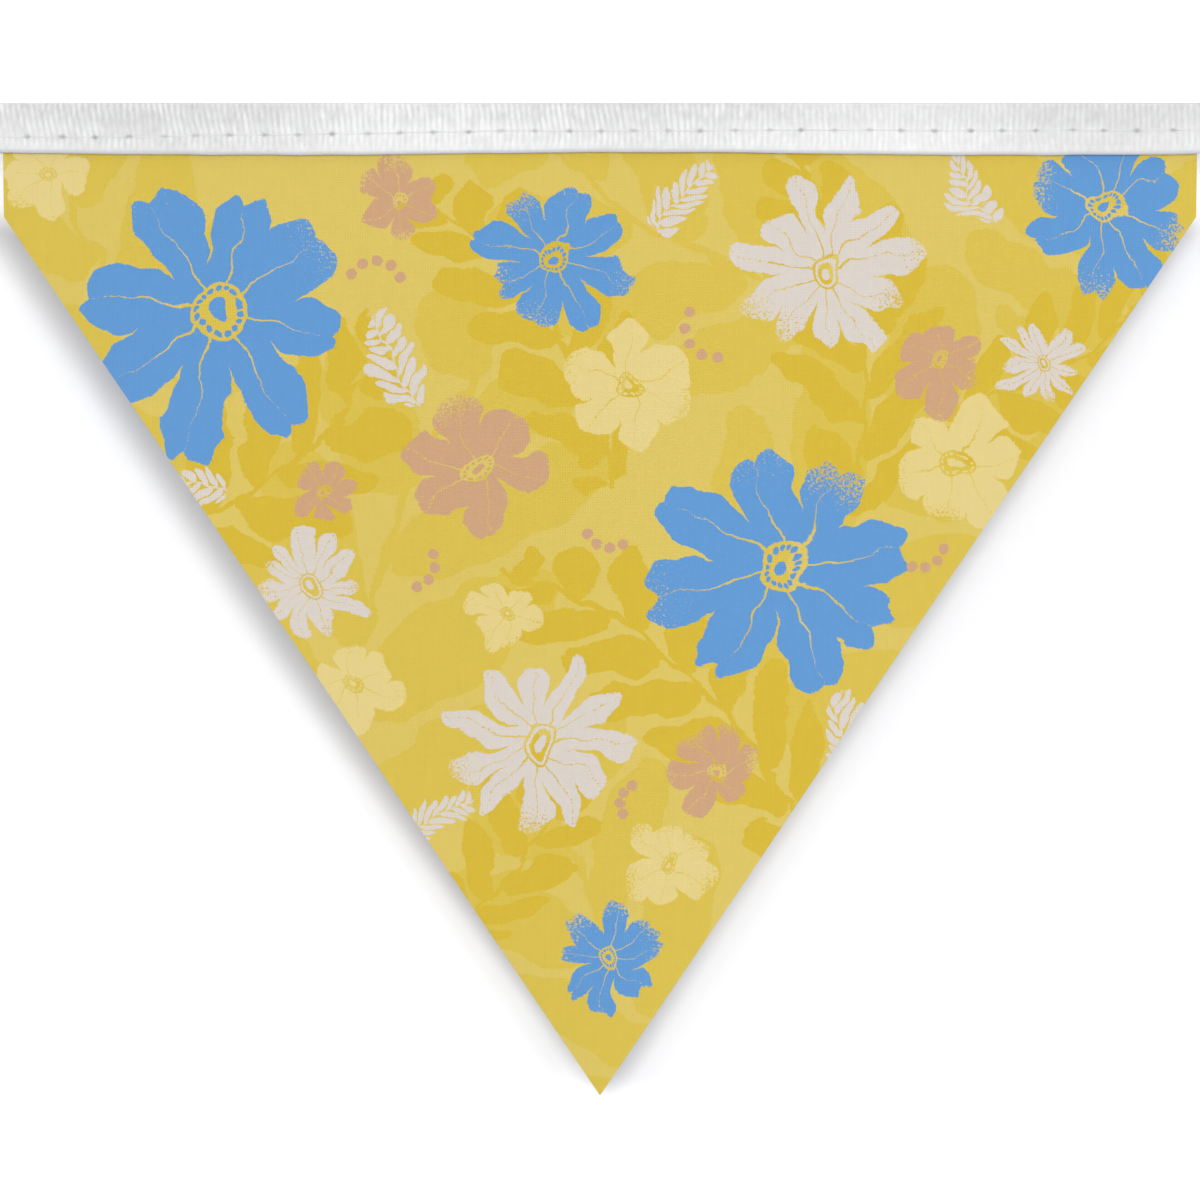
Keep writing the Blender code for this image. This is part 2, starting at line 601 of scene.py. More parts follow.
def stamens(tree, name, wobble, count, ring, dot):
    """Signed distance in millimetres inside a ring of dots and a disc at the middle."""
    across, up, radius = own_frame(tree, name, wobble)
    reach, turn = round_middle(across, up, count)
    aside = (turn - floored(turn) - 0.5) * (FULL_TURN / count * ring)
    away = root(aside * aside + (reach - ring) * (reach - ring))
    return most(dot - away, EYE_CORE - reach) * radius


def frond(tree, name, wobble, leaves, leaf_reach, slant, bend):
    """Signed distance in millimetres inside a stem with leaves down both its sides."""
    across, up, radius = own_frame(tree, name, wobble)

    # The stem is bowed, and leaves alternate down its two sides
    across = across - bend * up * up + bend * 0.4
    side = absolute(across)
    right = beyond(across, 0.0)
    place = (up - side * slant) * leaves + right * 0.5
    number = floored(place)
    gap = absolute(place - number - 0.5)
    long_by, _, _ = dice(tree, number, radius, right)

    # They are shorter towards both its ends, and broadest half way out
    span = leaf_reach * (0.80 + 0.32 * long_by) * (1.0 - 0.62 * up * up)
    out = side / most(span, 0.01)
    belly = root(clamped(out * (1.0 - out) * 4.0)) * 0.46 - 0.03
    leaf = least((belly - gap) / leaves, 0.93 - absolute(up))
    stem = least(STEM - side, 0.97 - absolute(up))
    return most(leaf, stem) * radius


def printed(distance):
    """How much ink lies at a signed distance in millimetres, from 0 to 1."""
    return clamped_sum(distance / INK_EDGE, 0.5)


def print_colour(tree, inks):
    """The print's colour socket: leaves, then blooms, sprigs and berries over them."""
    x, z = places(tree)
    slow_x, slow_z, _ = three_grains(tree, (x, z, 0.0), 0.11, 1.0)
    quick_x, quick_z, _ = three_grains(tree, (x, z, 0.0), 0.9, 2.0, 0.6)
    shiver = ((quick_x - 0.5) * SHIVER, (quick_z - 0.5) * SHIVER)
    wobble = ((slow_x - 0.5) * SWAY + shiver[0], (slow_z - 0.5) * SWAY + shiver[1])
    speckle = grain(tree, (x, z, 0.0), 1.9, 3.0, 0.65)
    streak = grain(tree, (x * 0.35 + z * 0.1, z * 1.3, 4.0), 0.8, 3.0, 0.6)
    colour = inks.light_gold
    foliage = (
        # layer, ink, leaves, leaf reach, slant, bend, raggedness in millimetres
        ("mid_gold_leaves", inks.mid_gold, 2.1, 0.62, 0.9, 0.22, 1.6),
        ("deep_gold_leaves", inks.deep_gold, 3.4, 0.42, 0.8, -0.25, 1.2),
    )
    for name, ink, leaves, leaf_reach, slant, bend, ragged in foliage:
        inside = frond(tree, name, wobble, leaves, leaf_reach, slant, bend)
        colour = mixed(tree, printed(inside + (streak - 0.5) * ragged), colour, ink)
    flowers = (
        # layer, ink, petals, breadth, notch, seed, raggedness in millimetres
        ("straw_blooms", inks.straw, 6, 0.42, 0.0, 2.0, 1.5),
        ("blue_blooms", inks.blue, 8, 0.285, 0.10, 5.0, 1.2),
        ("tan_blooms", inks.tan, 6, 0.40, 0.0, 7.0, 2.5),
        ("greige_blooms", inks.greige, 11, 0.20, 0.0, 9.0, 2.5),
    )
    for name, ink, petals, breadth, notch, seed, ragged in flowers:
        inside, outer, dry = bloom(tree, name, wobble, petals, breadth, notch, seed)
        inside = inside + least(speckle - 0.5, 0.02) * outer * ragged
        bare = clamped((speckle - 0.80 + dry * 0.36) * 14.0)
        colour = mixed(tree, printed(inside) * (1.0 - bare), colour, ink)
        dots = stamens(tree, name, wobble, petals * 2, ring=0.125, dot=0.020)
        colour = mixed(tree, printed(dots), colour, ink)
    sprigs = frond(tree, "greige_sprigs", wobble, 4.2, leaf_reach=0.46, slant=0.9, bend=0.2)
    colour = mixed(tree, printed(sprigs), colour, inks.greige)
    across, up, radius = own_frame(tree, "berries", shiver)
    berries = (1.0 - root(across * across + up * up)) * radius
    return mixed(tree, printed(berries), colour, inks.tan)


SHOWING_THROUGH = 0.30  # how much of the print the cloth's back shows


def back_colour(tree, settings):
    """The print as it shows through to the cloth's back."""
    return mixed(tree, SHOWING_THROUGH, settings.undyed, print_colour(tree, settings))


def weave(tree, pitch):
    """Height from 0 to 1 of a plain weave, its threads this many millimetres apart."""
    x, z = places(tree)
    column, row = x / pitch, z / pitch
    upright = absolute(sine(column * math.pi))
    level = absolute(sine(row * math.pi))
    cell = (floored(column) + floored(row)) * 0.5
    over = beyond(cell - floored(cell), 0.25)
    return upright * over * (0.6 + 0.4 * level) + level * (1.0 - over) * (0.6 + 0.4 * upright)


def cotton(name, settings, colour_of):
    """Cotton with its threads and slubs, in the colour that colour_of gives its tree."""
    material, tree, shader = new_material(name, roughness=0.86, specular=0.22, sheen=0.05)
    threads = weave(tree, settings.thread_pitch / MM)
    x, z = places(tree)
    slub = grain(tree, (x, z * 0.15, 1.0), 1.4, 2.0)
    # darker between the threads, as painted shade in the weave's hollows; the slubs vary the tone
    # at random
    tone = 0.955 + threads * 0.05 + (slub - 0.5) * 0.05
    feeds = {0: colour_of(tree), "Scale": tone}
    tinted = add_node(tree, "VectorMath", feeds, operation="SCALE")
    feed(tree, tinted.outputs[0], shader.inputs["Base Color"])
    raised(tree, shader, threads, depth=0.05 * MM, strength=0.6)
    return material


# ---- the tape


# Rows of points on a leaf, from its lower edge to the fold as shares: they lie closer
# together at the edge and along the seam
LEAF_ROWS = (0.0, 0.010, 0.024, 0.045, 0.075, 0.12, 0.20, 0.28, 0.345, 0.395, 0.445)
LEAF_ROWS += (0.495, 0.55, 0.63, 0.72, 0.81, 0.905, 1.0)
FOLD_ROWS = 8
FOLD_DROP = 0.0009  # where the fold's curve meets the leaves
COLUMNS_PER_RIB = 4

SEAM_DROP = 0.0057  # at the tape's middle
SEAM_LOWER_LEFT = 0.0012
SEAM_HIGHER_RIGHT = 0.0002
SEAM_WAVER = 0.00008
STITCH_CYCLE = (1.06, 0.95, 0.99)
STITCH_UNEVENNESS = 0.03
NEEDLE_SLIP = 0.00011

# How far a leaf's middle layer stands from the tape's middle plane
LOOSE_OPEN = 0.00104  # over the pennant
LOOSE_CLOSED = 0.00046  # where the leaves are closed on each other
SEWN_OPEN = 0.00056  # and the same along the seam
SEWN_CLOSED = 0.00031
VALLEY_WIDTH = 0.0021
EDGE_DRAWN_IN = 0.00026  # how much nearer it comes towards the lower edge
EDGE_FLARE = 0.00008  # and how unevenly that edge stands off
TAIL_BACK = 0.00065  # how far the closed ends lie to the back

FRONT_LOWER = 0.00022  # how much lower the front leaf hangs on average
EDGE_WAVE = 0.00028  # and how far its edge wavers
EDGE_WAVE_CREST = -0.068
EDGE_WAVE_LENGTH = 0.152
EDGE_RIPPLE = 0.00008

RIB_SWAY = 0.00034  # how far the ribs stray sideways
RIB_QUIVER = 0.00014
RIB_LEAN = (0.02, 0.18)  # the least and the most that they lean above the seam
SELVEDGE = 0.0006  # the width of the plain edge
HOLE_REACH = 0.00058
ROUND_EDGE = 0.0003


def closing(x):
    """How far the tape's leaves are closed on each other, from 0 to 1."""
    return ease((np.abs(x) - SIDE_HALF_WIDTH) / TAPE_CLOSING)


def seam_drop(x):
    """The stitch line begins low at the left, climbs and then runs nearly level."""
    climb = SEAM_LOWER_LEFT * ease(-x / 0.11) - SEAM_HIGHER_RIGHT * ease(x / 0.06)
    return SEAM_DROP + climb + SEAM_WAVER * drift(x / 0.03, 0 * x, 21)


def needle_places(settings):
    """Where the needle went through: steps of three lengths that repeat, never quite even."""
    count = int(2 * HALF_TAPE / settings.stitch_length) + 1
    uneven = STITCH_UNEVENNESS * chance(np.arange(count), 1, 8)
    steps = np.resize(STITCH_CYCLE, count) + uneven
    spots = np.cumsum(steps) * settings.stitch_length
    return spots - spots.mean()


def needle_slip(number):
    """How far above or below the seam's line each needle hole lies."""
    return NEEDLE_SLIP * chance(number, 6, 10)


def leaf_spread(x, drop, front):
    """How far a leaf's middle layer stands from the tape's middle plane."""
    closed = closing(x)
    open_leaf = LOOSE_OPEN - EDGE_DRAWN_IN * ease((drop - 0.0056) / 0.003)
    loose = open_leaf * (1 - closed) + LOOSE_CLOSED * closed
    pinched = SEWN_OPEN * (1 - closed) + SEWN_CLOSED * closed
    valley = np.exp(-(((drop - seam_drop(x)) / VALLEY_WIDTH) ** 2))
    flare = EDGE_FLARE * drift(x / 0.013, 0 * x, 31 + front) * ease((drop - 0.0065) / 0.003)
    return loose - (loose - pinched) * valley + flare * (1 - closed)


def tape_middle_y(x):
    """The tails lie a little to the back, where the leaves close."""
    return closing(x) * TAIL_BACK


def lower_edge(x, front):
    """Drop of a leaf's lower edge: the front one hangs a little lower, and wavers."""
    wave = np.cos(FULL_TURN * (x - EDGE_WAVE_CREST) / EDGE_WAVE_LENGTH)
    lower = (FRONT_LOWER + EDGE_WAVE * wave) * front
    return TAPE_DROP + lower + EDGE_RIPPLE * drift(x / 0.006, 0 * x, 41 + front)


def middle_layer(x, half):
    """y and z of the tape's middle, from its back edge over the fold to its front edge."""
    leaves = []
    for front in (0, 1):
        low = lower_edge(x, front)
        drop = low + (FOLD_DROP - low) * np.array(LEAF_ROWS)
        leaves.append((leaf_spread(x, drop, front), drop))
    (back_y, back_drop), (front_y, front_drop) = leaves
    turn = np.linspace(0.0, math.pi, FOLD_ROWS + 2)[1:-1]
    radius = (back_y[:, -1:] + front_y[:, -1:]) / 2
    fold_y = radius * np.cos(turn)
    fold_z = -FOLD_DROP + (FOLD_DROP - half) * np.sin(turn) + 0 * radius
    y = np.hstack((back_y, fold_y, -front_y[:, ::-1])) + tape_middle_y(x)
    return y, np.hstack((-back_drop, fold_z, -front_drop[:, ::-1]))


def rib_relief(x, along, phase):
    """The ribs' height: patchy, no two alike, and flatter towards the right."""
    patch = 0.72 + 0.28 * drift(x / 0.008, along / 0.004, 51)
    each = 0.90 + 0.60 * drift(x / 0.0013, along / 0.0017, 52)
    worn = 1.10 - 0.32 * ease((x - 0.005) / 0.070)
    return worn * patch * each * (0.5 + 0.5 * np.cos(phase))


def rib_places(x, z, along):
    """x of every point once the ribs stray and, above the seam, lean, most at the left."""
    wander = RIB_SWAY * drift(x / 0.013, along / 0.006, 61)
    wander += RIB_QUIVER * drift(x / 0.0035, along / 0.0035, 62)
    lean = np.clip(0.095 - 0.70 * x, *RIB_LEAN)
    wander -= lean * np.maximum(z + seam_drop(x), 0.0)
    held_ends = ease((HALF_TAPE - np.abs(x)) / 0.004)
    return x + wander * held_ends


def nearest_hole(x, z, on_front, settings):
    """How far aside and above its nearest needle hole a point lies, and how deep that is."""
    gaps = np.abs(x[..., None] - needle_places(settings))
    number = gaps.argmin(axis=-1)
    above = z + seam_drop(x) + needle_slip(number)
    drawn_in = 0.74 + 0.26 * chance(number, 4, 9)
    return gaps.min(axis=-1), above, drawn_in * np.where(on_front, 1.0, 0.6)


def tape_faces(columns, rows):
    """Quads over the outer and the inner surface, and over the four rims between them."""
    outer = np.arange(columns * rows).reshape(columns, rows)
    inner = outer + outer.size
    faces = [quad[::-1] for quad in grid_faces(outer)] + grid_faces(inner)
    for rim in (outer[:, 0], outer[::-1, -1], outer[0, ::-1], outer[-1]):
        faces += grid_faces(np.stack((rim, rim + outer.size)))
    return faces


def make_tape(settings):
    columns = int(2 * HALF_TAPE / (settings.rib_pitch / COLUMNS_PER_RIB)) + 1
    x = np.linspace(-HALF_TAPE, HALF_TAPE, columns)[:, None]
    phase = np.arange(columns)[:, None] * FULL_TURN / COLUMNS_PER_RIB
    half = settings.leaf_thickness / 2
    y, z = middle_layer(x, half)

    slope_y, slope_z = np.gradient(y, axis=1), np.gradient(z, axis=1)
    step = np.hypot(slope_y, slope_z)
    normal_y, normal_z = slope_z / step, -slope_y / step
    along = np.cumsum(step, axis=1)
    along = along - along[:, :1]
    total = along[:, -1:]
    to_edge = np.minimum(along, total - along)

    x_all = rib_places(x, z, along)
    ribs = rib_relief(x, along, phase) * ease((to_edge - SELVEDGE) / 0.0010)
    selvedge = 0.5 * ease(1 - np.abs(to_edge - 0.0005) / SELVEDGE)
    relief = settings.rib_relief * (ribs + selvedge)
    aside, above, drawn_in = nearest_hole(x_all, z, along > total / 2, settings)
    dent = drawn_in * np.exp(-((np.hypot(aside * 0.95, above * 1.15) / HOLE_REACH) ** 2))
    inward = np.clip(to_edge / ROUND_EDGE, 0.0, 1.0)
    rounded = 0.15 + 0.85 * np.sqrt(1 - (1 - inward) ** 2)
    inner = half * rounded
    outer = inner + relief * rounded - settings.needle_dent * dent

    sheets = [
        np.stack((x_all, y + normal_y * out, z + normal_z * out), -1).reshape(-1, 3)
        for out in (outer, -inner)
    ]
    faces = tape_faces(*y.shape)
    piece = add_mesh("tape_ribbon", np.concatenate(sheets), faces, sharp_degrees=60)
    for name, values in (("ridge", ribs), ("to_edge", to_edge / MM)):
        store(piece.data, name, "POINT", np.tile(values.ravel(), 2))
    to_hole = np.stack((aside / MM, above / MM, drawn_in), -1).reshape(-1, 3)
    store(piece.data, "to_hole", "POINT", np.tile(to_hole, (2, 1)))
    lay_tape_map(piece.data, x[:, 0], along)
    return piece


TAPE_MAP_SIDE = 0.1035
TAPE_MAP_RIM = 0.0005
TAPE_MAP_BANDS = (
    # where each third of the outer and then of the inner surface lies: u, v, scale
    (0.0015, 0.0015, 1.0),
    (0.0015, 0.0255, 1.0),
    (0.0015, 0.0495, 1.0),
    (0.0015, 0.0735, 0.4),
    (0.0525, 0.0735, 0.4),
    (0.0015, 0.0845, 0.4),
)


def lay_tape_map(mesh, x, along):
    """A flat pattern of the tape, cut in thirds that are stacked to fill a square."""
    columns, rows = along.shape
    loops = np.empty(len(mesh.loops), np.int32)
    mesh.loops.foreach_get("vertex_index", loops)
    sheet, place = np.divmod(loops.reshape(-1, 4), columns * rows)
    column, row = np.divmod(place, rows)
    rim = sheet.min(axis=1) < sheet.max(axis=1)
    third = columns // 3 + 1
    band = np.minimum(column.min(axis=1) // third, 2)
    u = x[column] - x[band * third][:, None]
    v = along[column, row]
    pushed = rim[:, None] * sheet * TAPE_MAP_RIM
    for line, end, axis in ((row, rows - 1, v), (column, columns - 1, u)):
        axis -= pushed * (line.max(axis=1) == 0)[:, None]
        axis += pushed * (line.min(axis=1) == end)[:, None]
    home = np.array(TAPE_MAP_BANDS)[band + 3 * (sheet.min(axis=1) == 1)]
    lay_map(mesh, (home[:, None, :2] + np.stack((u, v), -1) * home[:, None, 2:]) / TAPE_MAP_SIDE)


def ribbon_tone(x, to_edge, ridge, patch, streak):
    """How pale the tape is, from 0 in a groove to 1 on a rib: painted shade in the grooves and
    painted light on the ribs, deepest at the left and above the seam, and painted light that
    makes the tape paler below the seam and along the fold."""
    # painted light: from just above the seam down, the tape is painted paler and the ribs'
    # painted shade is shallower
    paler_below_seam = clamped((6.4 - to_edge) / 1.5)
    depth = (1.0 - paler_below_seam * 0.15) * (1.08 - eased((x - 5.0) / 70.0) * 0.24)
    # ridge paints the ribs' crests light and their grooves dark, as painted light and shade;
    # streak and patch vary the tone at random
    ribs = ridge * 0.50 + (streak - 0.5) * 0.72 + (patch - 0.5) * 0.34
    selvedge = clamped(1.3 - absolute(to_edge - 0.95) * 1.6)
    # painted light along the fold
    painted_light_at_fold = clamped((to_edge - 9.2) * 2.0)
    # painted light and shade in a slow wave along the tape, darker towards both its ends
    slow = sine((x + 64.0) * (FULL_TURN / 96.0)) * 0.085
    slow = slow - clamped((absolute(x - 11.0) - 57.0) / 16.0) * 0.085
    tone = 0.57 + paler_below_seam * 0.16 + slow + (ribs - 0.16) * depth
    return clamped(tone + selvedge * 0.09 + painted_light_at_fold * 0.17)


def ribbon_material(settings):
    material, tree, shader = new_material(
        "ribbed_tape", roughness=0.62, specular=0.35, sheen=0.08, sheen_roughness=0.4
    )
    ridge = stored_number(tree, "ridge")
    to_edge = stored_number(tree, "to_edge")
    aside, above, drawn_in = stored_vector(tree, "to_hole")
    x, _ = places(tree)
    patch = grain(tree, (x, to_edge, 0.0), 0.3, 2.0)
    streak = grain(tree, (x * 1.3, to_edge * 0.5, 7.0), 1.0, 2.0)
    tone = ribbon_tone(x, to_edge, ridge, patch, streak)
    # painted shade in the grooves, painted light on the ribs
    colour = mixed(tree, tone, settings.groove_shade_colour, settings.colour)
    # painted shade along the tape's two lower edges, where they round off
    rim = clamped(1.2 - to_edge * 1.7)
    colour = mixed(tree, rim, colour, settings.edge_shade_colour)
    # painted shade in and round each needle hole
    away = root(aside * aside + above * above * 1.5) + (streak - 0.5) * 0.6
    hole = eased(1.0 - away / 0.95) * drawn_in * 0.95
    colour = mixed(tree, hole, colour, settings.hole_shade_colour)
    feed(tree, colour, shader.inputs["Base Color"])
    threads = absolute(sine(to_edge * (math.pi / 0.28)))
    fibre = grain(tree, (x * 0.5, to_edge * 2.0, 2.0), 2.2, 3.0)
    raised(tree, shader, threads * 0.6 + fibre * 0.6, depth=0.04 * MM, strength=0.7)
    return material


# ---- the stitches


RINGS_PER_STITCH = 18
SIDES_OF_THREAD = 10
THREAD_SINK = 0.00042  # how deep a stitch's ends dip into the tape
THREAD_LIFT = 0.05  # how far its middle stands off the ribs, in widths of the thread
PLY_DEPTH = 0.13
TWISTS_PER_METRE = 900
# the thread is painted darker near each hole, as the hole's shade
HOLE_SHADE_REACH = 0.0008  # how far from a hole the thread is darker


def stitch_line(near, far, slips, front, settings):
    """The middle line of one stitch: out of a hole, over the tape and into the next."""
    share_along = np.linspace(0.0, 1.0, RINGS_PER_STITCH)
    x = near + (far - near) * share_along
    drop = seam_drop(x) + slips[0] + (slips[1] - slips[0]) * share_along
    surface = leaf_spread(x, drop, front) + settings.leaf_thickness / 2
    surface = surface + settings.rib_relief * 0.5
    bow = 1 - np.abs(2 * share_along - 1) ** 7
    lift = -THREAD_SINK + (THREAD_SINK + settings.thread_width * THREAD_LIFT) * bow
    facing = -1 if front else 1
    y = tape_middle_y(x) + facing * (surface + lift)
    # how deep each ring lies in the painted shade of the nearer hole
    to_hole = np.minimum(x - near, far - x)
    return np.stack((x, y, -drop), -1), np.exp(-((to_hole / HOLE_SHADE_REACH) ** 2))


def twisted_tube(line, width):
    """A thread round a line, its three plies laid in a twist."""
    tangent = unit(np.gradient(line, axis=0))
    side = unit(np.cross(tangent, (0.0, 0.0, 1.0)))
    up = np.cross(side, tangent)
    steps = np.linalg.norm(np.diff(line, axis=0), axis=1)
    twist = np.concatenate(((0.0,), np.cumsum(steps))) * TWISTS_PER_METRE * FULL_TURN
    angle = np.linspace(0.0, FULL_TURN, SIDES_OF_THREAD, endpoint=False)[None, :]
    radius = width / 2 * (1 + PLY_DEPTH * np.cos(3 * (angle - twist[:, None])))
    ring = side[:, None] * np.cos(angle)[..., None] + up[:, None] * np.sin(angle)[..., None]
    return line[:, None] + ring * radius[..., None]


def tube_faces(first):
    """The sides and the two ends of one stitch, its points numbered from first."""
    number = first + np.arange(RINGS_PER_STITCH * SIDES_OF_THREAD)
    number = number.reshape(RINGS_PER_STITCH, SIDES_OF_THREAD)
    wrapped = np.hstack((number, number[:, :1]))
    return grid_faces(wrapped) + [number[0, ::-1].tolist(), number[-1].tolist()]


def make_stitches(settings):
    holes = needle_places(settings)
    slips = needle_slip(np.arange(len(holes)))
    points, faces, shade_by_hole = [], [], []
    for front in (1, 0):
        for near, far, ends in zip(holes, holes[1:], zip(slips, slips[1:])):
            line, dark = stitch_line(near, far, ends, front, settings)
            faces += tube_faces(len(points) * RINGS_PER_STITCH * SIDES_OF_THREAD)
            points.append(twisted_tube(line, settings.thread_width).reshape(-1, 3))
            shade_by_hole.append(np.repeat(dark, SIDES_OF_THREAD))
    piece = add_mesh("seam_stitches", np.concatenate(points), faces, sharp_degrees=80)
    store(piece.data, "shade_by_hole", "POINT", np.concatenate(shade_by_hole))
    return piece


def thread_material(settings):
    material, tree, shader = new_material("sewing_thread", roughness=0.5, sheen=0.1)
    x, z = places(tree)
    fibre = grain(tree, (x, z * 4.0, 0.0), 3.0, 3.0)
    darker = tuple(value * 0.94 for value in settings.thread_colour)
    colour = mixed(tree, fibre, darker, settings.thread_colour)
    # painted shade on the thread where it dips into a needle hole
    shade_by_hole = stored_number(tree, "shade_by_hole") * 0.8
    colour = mixed(tree, shade_by_hole, colour, settings.hole_shade_colour)
    feed(tree, colour, shader.inputs["Base Color"])
    raised(tree, shader, fibre, depth=0.03 * MM, strength=0.5)
    return material


# ---- the stage


FLOOR_DROP = 0.75
FLOOR_REACH = 30.0
FLOOR_GLOW = 0.6
WALL_Y = 0.0115
WALL_REACH = 0.45
WALL_TOP = 0.30
WALL_GLOW = 0.08
GAP_INSET = 0.013  # the wall is open behind the flag, this far inside its outline
GAP_TOP = -0.0115
ROOM_SEEN = 1.05  # how bright the room is for the camera: just past white
SHADOW_GROWTH = 1.017
LAMP_SIDE = 1.0
LAMP_AWAY = 1.7
LAMP_TARGET = (0.0, 0.0, -0.10)


def flat_panel(name, corners, faces):
    mesh = bpy.data.meshes.new(name)
    mesh.from_pydata(corners, [], faces)
    item = bpy.data.objects.new(name, mesh)
    bpy.context.scene.collection.objects.link(item)
    return item


def with_glow(tree, paint, strength):
    """A painted surface's socket with some light of its own, which keeps white paint white."""
    glow = add_node(tree, "Emission", {"Strength": strength})
    return add_node(tree, "AddShader", {0: paint.outputs[0], 1: glow.outputs[0]}).outputs[0]


def wall_shade(tree):
    """How deep in the flag's soft shadow a place on the wall lies, from 0 to 1.

    It is the pennant's triangle, thrown a little larger. Its sides are soft, the left one
    more so, and it fades out beside the tape and under the point.
    """
    x, z = places(tree)
    middle = (TAPE_TOP_SHARE - 0.5) * PHOTO_SIDE / MM
    x, z = x / SHADOW_GROWTH, (z - middle) / SHADOW_GROWTH + middle
    above_tip = (z + TIP_DROP / MM) * (SHOULDER_HALF_WIDTH / SLANT)
    low = clamped((z + 110.0) / -70.0)
    lowest = clamped((z + 165.0) / -25.0)
    shade = eased((z + 20.0) / -7.0) * eased((z + 203.0) / 9.0)
    for facing, inset, width, clearing in (
        # side, how far inside the outline it begins to clear, over what width, how much
        (-1, lowest * 1.3 + 1.2, 8.8 - low * 4.2 + lowest * 1.9, 0.71 + low * 0.22),
        (1, 2.0 - lowest * 1.0, 5.6 + lowest * 0.4, 0.55 + low * 0.08),
    ):
        outside = x * (facing * SLANT_RISE / SLANT) - above_tip
        clear = eased((outside + inset) / width) * clearing
        clear = clear + clamped((outside - 9.0) / 4.0) * (1.0 - clearing)
        shade = shade * (1.0 - clear)
    return shade


def make_wall(settings):
    """A pale panel close behind the flag, which is only there as seen from the front.

    It is open where the flag hides it, so that it doesn't show beside the flag's edge.
    """
    gap_half = SIDE_HALF_WIDTH - GAP_INSET
    gap_tip = GAP_INSET * (SLANT_RISE / SHOULDER_HALF_WIDTH) - TIP_DROP
    outline = (
        (-WALL_REACH, -WALL_REACH),
        (WALL_REACH, -WALL_REACH),
        (WALL_REACH, WALL_TOP),
        (-WALL_REACH, WALL_TOP),
        (-gap_half, GAP_TOP),
        (gap_half, GAP_TOP),
        (0.0, gap_tip),
    )
    faces = ((0, 1, 6), (1, 2, 5, 6), (2, 3, 4, 5), (3, 0, 6, 4))
    wall = flat_panel("wall", [(x, WALL_Y, z) for x, z in outline], faces)
    wall.data.materials.append(wall_material(settings))
    for rays in ("diffuse", "glossy", "transmission", "shadow"):
        setattr(wall, "visible_" + rays, False)


def wall_material(settings):
    """Pale paint with the shadow on its front. Its back is clear."""
    material = bpy.data.materials.new("wall_white")
    material.use_nodes = True
    tree = material.node_tree
    tree.nodes.clear()
    shade = wall_shade(tree)
    colour = mixed(tree, shade, settings.wall_colour, settings.shadow_colour)
    paint = add_node(tree, "BsdfDiffuse", {"Color": colour})
    front = with_glow(tree, paint, (1.0 - shade) * WALL_GLOW)
    back = add_node(tree, "BsdfTransparent").outputs[0]
    seen_from_behind = add_node(tree, "NewGeometry").outputs["Backfacing"]
    both = add_node(tree, "MixShader", {0: seen_from_behind, 1: front, 2: back})
    add_node(tree, "OutputMaterial", {"Surface": both.outputs[0]})
    return material


def make_floor(settings):
    """A pale floor far below, which glows for the camera so that it meets the room's white."""
    outline = ((-1, -1), (1, -1), (1, 1), (-1, 1))
    corners = [(x * FLOOR_REACH, y * FLOOR_REACH, -FLOOR_DROP) for x, y in outline]
    floor = flat_panel("floor", corners, ((0, 1, 2, 3),))
    material, tree, shader = new_material("floor_pale", roughness=0.9)
    feed(tree, settings.wall_colour, shader.inputs["Base Color"])
    seen = Field(tree, add_node(tree, "LightPath").outputs["Is Camera Ray"])
    glowing = with_glow(tree, shader, seen * FLOOR_GLOW)
    feed(tree, glowing, tree.nodes["Material Output"].inputs["Surface"])
    floor.data.materials.append(material)


def make_lamp(name, azimuth, elevation, strength):
    """A large soft lamp, its azimuth counted to the right of the printed face."""
    data = bpy.data.lights.new(name, "AREA")
    data.size = LAMP_SIDE
    data.energy = strength
    lamp = bpy.data.objects.new(name, data)
    turn = Euler((math.radians(90 - elevation), 0.0, math.radians(azimuth)))
    lamp.rotation_euler = turn
    lamp.location = Vector(LAMP_TARGET) + turn.to_matrix() @ Vector((0.0, 0.0, LAMP_AWAY))
    bpy.context.scene.collection.objects.link(lamp)


def make_world(settings):
    """Even light from all round, from a room that the camera sees as white."""
    world = bpy.data.worlds.new("studio")
    world.use_nodes = True
    tree = world.node_tree
    sky = tree.nodes["Background"]
    sky.inputs["Color"].default_value = (1.0, 1.0, 1.0, 1.0)
    seen = add_node(tree, "LightPath").outputs["Is Camera Ray"]
    feeds = {"Value": seen, "To Min": settings.room_light, "To Max": ROOM_SEEN}
    feed(tree, add_node(tree, "MapRange", feeds).outputs[0], sky.inputs["Strength"])
    bpy.context.scene.world = world


def make_camera(settings):
    data = bpy.data.cameras.new("camera")
    data.lens = settings.lens
    data.sensor_width = 36.0
    camera = bpy.data.objects.new("camera", data)
    back = PHOTO_SIDE * data.lens / data.sensor_width
    camera.location = (0.0, -back, (TAPE_TOP_SHARE - 0.5) * PHOTO_SIDE)
    camera.rotation_euler = (math.radians(90), 0.0, 0.0)
    data.clip_start = 0.01
    bpy.context.scene.collection.objects.link(camera)
    bpy.context.scene.camera = camera


# ---- settings


def quantity(name, default, description, low=0.0, **kind):
    return FloatProperty(
        name=name, description=description, default=default, min=low, **kind
    )


def metres(name, default, description, low, high):
    kind = {"max": high, "subtype": "DISTANCE", "unit": "LENGTH", "precision": 5}
    return quantity(name, default, description, low, **kind)


def tint(name, default, description):
    kind = {"min": 0.0, "max": 1.0, "size": 3, "subtype": "COLOR"}
    return FloatVectorProperty(name=name, description=description, default=default, **kind)


